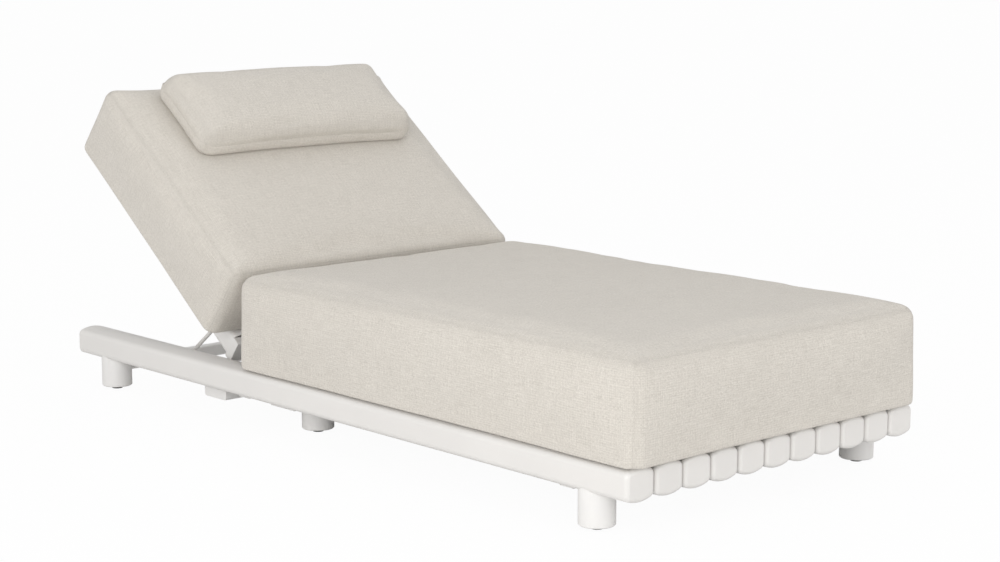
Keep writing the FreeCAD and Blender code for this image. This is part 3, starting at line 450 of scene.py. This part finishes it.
def shape_cushion(points, width, length, thickness, corner, top_round, foot_round,
                  crown, swell, draw, waves, seed, lift=0.0):
    """Moves box points to the cushion's form; the base plane ends up at zero height.

    In the rounding zone the offset from the core box is put on an ellipsoid. Sides go in by
    swell times (1 - 2 level)^2, and by draw times one minus the squared place along them.
    The top rises by crown times the crown's share. Slow waves move points outwards, less so
    underneath. Lift raises the underside by (1 - inset / LIFT_REACH)^1.5."""
    half = np.array([width / 2, length / 2, thickness / 2])
    edge = np.where(points[:, 2] > 0, top_round, foot_round)
    zone = np.stack([np.full(len(points), corner), np.full(len(points), corner), edge], -1)
    core = np.clip(points, -(half - zone), half - zone)
    offset = (points - core) / zone
    largest = np.abs(offset).max(axis=1, keepdims=True)
    size = np.linalg.norm(offset, axis=1, keepdims=True)
    bent = offset / np.where(size > 0, size, 1.0) * largest
    # the zone is elliptic, so the top edge keeps its own radius beside the upright edges
    form = core + bent * zone
    level = np.clip((form[:, 2] + half[2]) / thickness, 0, 1)
    lean = swell * (1 - 4 * level * (1 - level))
    side_x = np.abs(bent[:, 0])
    side_y = np.abs(bent[:, 1])
    bow_x = draw * (1 - (form[:, 1] / half[1]) ** 2)
    bow_y = draw * (1 - (form[:, 0] / half[0]) ** 2)
    form[:, 0] -= np.sign(form[:, 0]) * side_x * (lean + bow_x)
    form[:, 1] -= np.sign(form[:, 1]) * side_y * (lean + bow_y)
    rise = crown_share(form[:, 0], form[:, 1], half[0], half[1])
    form[:, 2] += crown * rise * np.clip(bent[:, 2], 0, 1)
    outward = bent / np.where(size > 0, np.linalg.norm(bent, axis=1, keepdims=True), 1.0)
    resting = np.clip(-outward[:, 2], 0, 1)
    wave = slow_waves(points, waves, seed) - waves * WAVE_SINK
    form += outward * (wave * (1 - resting))[:, None]
    form[:, 2] += half[2]
    inset = np.minimum(half[0] - np.abs(form[:, 0]), half[1] - np.abs(form[:, 1]))
    lifted = np.clip(1 - inset / LIFT_REACH, 0, 1) ** 1.5 * lift
    form[:, 2] += lifted * np.clip(1 - form[:, 2] / thickness, 0, 1) ** 2
    return form


# %% [markdown]
# A formula is too even for a stuffed cover, so a cloth simulation follows. Air pressure
# inside the closed cover pushes it outwards for some frames, which rounds the edges and
# pulls the faces unevenly. A light one is enough here, because this lounger's foam is firm
# and its covers are smooth. The result goes into the mesh, eased out towards the underside,
# which lies still.

# %% Cloth under pressure
FRAMES = 20
HELD_LEVEL, FREE_LEVEL = 0.04, 0.55
FARTHEST, SLACK, SWELLING_TAKEN_OFF = 0.007, 0.003, 0.5
TINY = 1e-9
COVER = dict(quality=6, mass=0.3, tension_stiffness=20.0, compression_stiffness=20.0,
             shear_stiffness=8.0, bending_stiffness=1.0, air_damping=2.0,
             vertex_group_mass="held", shrink_min=-SLACK, use_pressure=True)


def inflate(cushion, level, outward, pressure):
    """Runs the simulation and applies it to the mesh.

    Level is each point's height as a share of the thickness. The cover is cut larger than the
    form by the share SLACK. A share of the mean swelling is taken off again, so that the
    cushion keeps its size, and no point moves more than FARTHEST."""
    held = level < HELD_LEVEL
    scene = bpy.context.scene
    mesh = cushion.data
    start = np.empty(3 * len(mesh.vertices))
    mesh.vertices.foreach_get("co", start)
    start = start.reshape(-1, 3)
    group = cushion.vertex_groups.new(name="held")
    group.add(np.flatnonzero(held).tolist(), 1.0, "REPLACE")
    cloth = cushion.modifiers.new("cloth", "CLOTH")
    cloth.point_cache.frame_start = 1
    cloth.point_cache.frame_end = FRAMES
    cloth.collision_settings.use_collision = False
    for label, value in COVER.items():
        setattr(cloth.settings, label, value)
    cloth.settings.uniform_pressure_force = pressure
    cloth.settings.effector_weights.gravity = 0.0
    for number in range(1, FRAMES + 1):
        scene.frame_set(number)
    solved = cushion.evaluated_get(bpy.context.evaluated_depsgraph_get())
    shape = solved.to_mesh()
    end = np.empty_like(start.ravel())
    shape.vertices.foreach_get("co", end)
    solved.to_mesh_clear()
    cushion.modifiers.remove(cloth)
    cushion.vertex_groups.remove(group)
    scene.frame_set(1)
    moved = end.reshape(-1, 3) - start
    free = ~held
    swelling = (moved * outward).sum(1)[free].mean()
    print(cushion.name, "cloth moved", round(1000 * np.linalg.norm(moved[free], axis=1).mean(), 1),
          "mm on average, of which outwards", round(1000 * swelling, 1), "mm")
    moved[free] -= outward[free] * swelling * SWELLING_TAKEN_OFF
    length = np.linalg.norm(moved, axis=1, keepdims=True)
    moved *= np.tanh(length / FARTHEST) * FARTHEST / np.maximum(length, TINY)
    ease = np.clip((level - HELD_LEVEL) / (FREE_LEVEL - HELD_LEVEL), 0, 1)
    moved *= (ease * ease * (3 - 2 * ease))[:, None]
    mesh.vertices.foreach_set("co", (start + moved).ravel())
    mesh.update()


# %% [markdown]
# A cushion's mesh joins the six panels along their edges and carries the cloth's coordinates,
# the distance to the nearest seam and the way along it. The weave reads these three, so it
# follows each panel and turns at the seams as cut cloth does.

# %% Making a cushion
ZONE_MARGIN, SAME_POINT = 1.15, 1e6


def make_cushion(name, place, step, pressure, seam_start=0.0, adapt=None, **form):
    """Cushion object: box grid, form, place in the model's frame, cloth data, simulation.

    Adapt changes the formed points before they are placed. A large seam_start keeps the
    seams' grooves off the piece."""
    half = (form["width"] / 2, form["length"] / 2, form["thickness"] / 2)
    rounding = form["corner"] * ZONE_MARGIN
    zones = (rounding, rounding, max(form["top_round"], form["foot_round"]))
    points, quads, cloth, seam, run = panel_grid(half, zones, step)
    shaped = shape_cushion(points, **form)
    if adapt is not None:
        shaped = adapt(shaped)
    placed = place(shaped)
    key = np.round(points * SAME_POINT).astype(np.int64)
    _, first, back = np.unique(key, axis=0, return_index=True, return_inverse=True)
    back = back.ravel()
    mesh = bpy.data.meshes.new(name)
    mesh.from_pydata(placed[first].tolist(), [], back[quads].tolist())
    layer = mesh.uv_layers.new(name="UV")
    layer.data.foreach_set("uv", cloth[quads.ravel()].astype(np.float32).ravel())
    for label, values in (("seam", seam + seam_start), ("run", run)):
        attribute = mesh.attributes.new(label, "FLOAT", "POINT")
        attribute.data.foreach_set("value", values[first].astype(np.float32))
    mesh.polygons.foreach_set("use_smooth", [True] * len(mesh.polygons))
    mesh.materials.append(weave)
    mesh.update()
    cushion = bpy.data.objects.new(name, mesh)
    bpy.context.scene.collection.objects.link(cushion)
    outward = np.empty(3 * len(mesh.vertices))
    mesh.vertex_normals.foreach_get("vector", outward)
    base, above = place(np.array([[0.0, 0.0, 0.0], [0.0, 0.0, 1.0]]))
    level = (placed[first] - base) @ (above - base) / form["thickness"]
    inflate(cushion, level, outward.reshape(-1, 3), pressure)
    smooth = cushion.modifiers.new("smooth", "SUBSURF")
    smooth.levels = 1
    smooth.render_levels = 1
    print(name, len(mesh.vertices), "points,", len(mesh.polygons), "quads")
    return cushion


# %% [markdown]
# The seat cushion is one thick block that lies flat on the platform and ends a little past
# its foot. A flat underside would leave a dark gap over the rails' crowns and the slats'
# round ends, so its hem sinks a little there, as cloth does where nothing is under it.

# %% Seat cushion
PAD_STEP, PAD_PRESSURE = 0.022, 0.35
PLATFORM = 0.1483
SEAT = dict(width=0.900, length=1.330, thickness=0.226, corner=0.036, top_round=0.036,
            foot_round=0.008, crown=0.010, swell=0.002, draw=0.003, waves=0.0016, seed=3)
SEAT_MIDDLE = -0.355
RAIL_MIDDLE, RAIL_CROWN, HEM_SHARE = 0.410, 0.090, 0.85
SLAT_ENDS, OVERHANG, DROOP = -0.990, 0.030, 0.007


def drape(points):
    """Lowers the hem beside the rails' crowns and past the slats' foot ends.

    Beside a crown it drops as a circle does, by radius minus the root of radius squared
    minus distance squared. Past the slats it drops with the distance to the power 1.5. Both
    fade with height above the underside."""
    past_rail = np.clip(np.abs(points[:, 0]) - RAIL_MIDDLE, 0, 0.5 * RAIL_CROWN)
    beside = RAIL_CROWN - np.sqrt(RAIL_CROWN ** 2 - past_rail ** 2)
    past_end = np.clip((SLAT_ENDS - points[:, 1] - SEAT_MIDDLE) / OVERHANG, 0, 1)
    drop = np.maximum(HEM_SHARE * beside, DROOP * past_end ** 1.5)
    draped = points.copy()
    draped[:, 2] -= drop * np.clip(1 - points[:, 2] / SEAT["thickness"], 0, 1) ** 2
    return draped


def on_platform(points):
    """Moves local points onto the platform, with the cushion's middle at its place in y."""
    return points + np.array([0.0, SEAT_MIDDLE, PLATFORM])


seat = make_cushion("seat_pad", on_platform, PAD_STEP, PAD_PRESSURE, adapt=drape, **SEAT)
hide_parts("seat_cushion")
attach(seat, "frame")

# %% [markdown]
# The back cushion is as wide as the seat cushion and lies loose on the raised panel. It is
# shaped flat, by the same formula, and then placed: local points have y along the panel from
# the hinge line and z above the panel's plane, so one turn puts cushion and pillow in place.

# %% Back cushion
RAISED = math.radians(37.1)
HINGE = np.array([0.0, 0.387, 0.058])
ALONG = np.array([0.0, math.cos(RAISED), math.sin(RAISED)])
ABOVE = np.array([0.0, -math.sin(RAISED), math.cos(RAISED)])
BACK = dict(width=0.900, length=0.702, thickness=0.211, corner=0.034, top_round=0.034,
            foot_round=0.010, crown=0.010, swell=0.001, draw=0.002, waves=0.0016, seed=8,
            lift=0.0030)
BACK_MIDDLE = 0.471
PANEL_TOP = 0.0903


def on_panel(middle, base):
    """Placing function for a cushion whose middle and base are given on the panel: hinge
    line, plus y along the panel, plus z above its plane."""
    def place(points):
        along = points[:, 1] + middle
        above = points[:, 2] + base
        return (HINGE + points[:, :1] * np.array([1.0, 0.0, 0.0])
                + along[:, None] * ALONG + above[:, None] * ABOVE)
    return place


back = make_cushion("back_pad", on_panel(BACK_MIDDLE, PANEL_TOP), PAD_STEP, PAD_PRESSURE, **BACK)
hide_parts("back_cushion")
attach(back, "back_cushion")

# %% [markdown]
# The head pillow is softer, with wide roundings and no seams in view, so it gets a finer
# grid and more pressure. Its underside follows the back cushion's crown, so that it lies on
# the cloth and not above it.

# %% Head pillow
PILLOW_STEP, PILLOW_PRESSURE, NO_SEAMS = 0.012, 0.8, 1.0
PILLOW_MIDDLE, BACK_RISE = 0.637, 0.2203
PILLOW = dict(width=0.678, length=0.264, thickness=0.088, corner=0.044, top_round=0.056,
              foot_round=0.020, crown=0.014, swell=0.002, draw=0.005, waves=0.0024, seed=21)


def lie_on_back(points):
    """Lowers the pillow's underside by what the back cushion's crown falls under it: crown
    times one minus its share there, faded by (1 - level)^2."""
    shift = PILLOW_MIDDLE - BACK_MIDDLE
    share = crown_share(points[:, 0], points[:, 1] + shift, BACK["width"] / 2, BACK["length"] / 2)
    level = np.clip(points[:, 2] / PILLOW["thickness"], 0, 1)
    lowered = points.copy()
    lowered[:, 2] -= BACK["crown"] * (1 - share) * (1 - level) ** 2
    return lowered


pillow = make_cushion("head_pad", on_panel(PILLOW_MIDDLE, PANEL_TOP + BACK_RISE), PILLOW_STEP,
                      PILLOW_PRESSURE, seam_start=NO_SEAMS, adapt=lie_on_back, **PILLOW)
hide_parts("head_pillow")
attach(pillow, "back_cushion")

# %% [markdown]
# The photograph has a pure white floor with no horizon. More light would give that too, but
# it would wash out the cloth. So the floor is matt paper for the light, and where the camera
# looks it is mixed with plain white, which leaves a faint shadow.

# %% Floor
def paper(name, shade, white):
    """Floor material: matt for light, mixed with plain white where the camera looks."""
    material = bpy.data.materials.new(name)
    material.use_nodes = True
    graph = material.node_tree
    matt = graph.nodes["Principled BSDF"]
    matt.inputs["Base Color"].default_value = shade
    matt.inputs["Roughness"].default_value = 0.9
    glow = graph.nodes.new("ShaderNodeEmission")
    glow.inputs["Color"].default_value = (1.0, 1.0, 1.0, 1.0)
    ray = graph.nodes.new("ShaderNodeLightPath")
    weight = graph.nodes.new("ShaderNodeMath")
    weight.operation = "MULTIPLY"
    weight.inputs[1].default_value = white
    mixed = graph.nodes.new("ShaderNodeMixShader")
    graph.links.new(ray.outputs["Is Camera Ray"], weight.inputs[0])
    graph.links.new(weight.outputs[0], mixed.inputs[0])
    graph.links.new(matt.outputs[0], mixed.inputs[1])
    graph.links.new(glow.outputs[0], mixed.inputs[2])
    graph.links.new(mixed.outputs[0], graph.nodes["Material Output"].inputs["Surface"])
    return material


FLOOR_REACH = 40.0
floor_mesh = bpy.data.meshes.new("floor")
corners = [(x * FLOOR_REACH, y * FLOOR_REACH, 0) for x, y in ((-1, -1), (1, -1), (1, 1), (-1, 1))]
floor_mesh.from_pydata(corners, [], [(0, 1, 2, 3)])
floor_mesh.materials.append(paper("paper", (0.86, 0.86, 0.86, 1.0), 0.96))
floor = bpy.data.objects.new("floor", floor_mesh)
bpy.context.scene.collection.objects.link(floor)
floor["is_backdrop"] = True
print("floor is", 2 * FLOOR_REACH, "m wide")

# %% [markdown]
# A soft studio: an even pale world, a weak wide light overhead, a key on the lounger's left
# side and a fill before its foot end. One strong lamp would cut hard shadows under the
# slats, so each lamp is some metres wide. Camera rays see a white background; every other
# ray sees the pale world.

# %% Studio light
world = bpy.data.worlds.new("studio")
bpy.context.scene.world = world
world.use_nodes = True
graph = world.node_tree
sky = graph.nodes["Background"]
sky.inputs["Color"].default_value = (1.0, 1.0, 1.0, 1.0)
sky.inputs["Strength"].default_value = 0.70
seen = graph.nodes.new("ShaderNodeBackground")
seen.inputs["Color"].default_value = (1.0, 1.0, 1.0, 1.0)
seen.inputs["Strength"].default_value = 1.0
ray = graph.nodes.new("ShaderNodeLightPath")
mixed = graph.nodes.new("ShaderNodeMixShader")
graph.links.new(ray.outputs["Is Camera Ray"], mixed.inputs[0])
graph.links.new(sky.outputs[0], mixed.inputs[1])
graph.links.new(seen.outputs[0], mixed.inputs[2])
graph.links.new(mixed.outputs[0], graph.nodes["World Output"].inputs["Surface"])


def area_light(name, place, target, size, power):
    """Square soft light at a place, turned towards a target."""
    data = bpy.data.lights.new(name, "AREA")
    data.size = size
    data.energy = power
    lamp = bpy.data.objects.new(name, data)
    lamp.location = place
    direction = Vector(target) - Vector(place)
    lamp.rotation_euler = direction.to_track_quat("-Z", "Y").to_euler()
    bpy.context.scene.collection.objects.link(lamp)


area_light("overhead", (0.4, 0.2, 4.2), (0.0, 0.0, 0.2), 4.0, 18.0)
area_light("key", (-4.6, -2.4, 1.6), (0.0, -0.2, 0.3), 3.0, 118.0)
area_light("fill", (1.2, -4.6, 1.4), (0.0, 0.0, 0.3), 3.0, 40.0)

# %% [markdown]
# The visual model's box is written beside the CAD box, and the script ends.

# %% Sizes
shown_box = [list(corner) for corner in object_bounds()]
growth = [round(1000 * (shown_box[1][axis] - shown_box[0][axis]
                        - cad_box[1][axis] + cad_box[0][axis]), 1) for axis in range(3)]
print("visual box is larger than the CAD box by", growth, "mm")
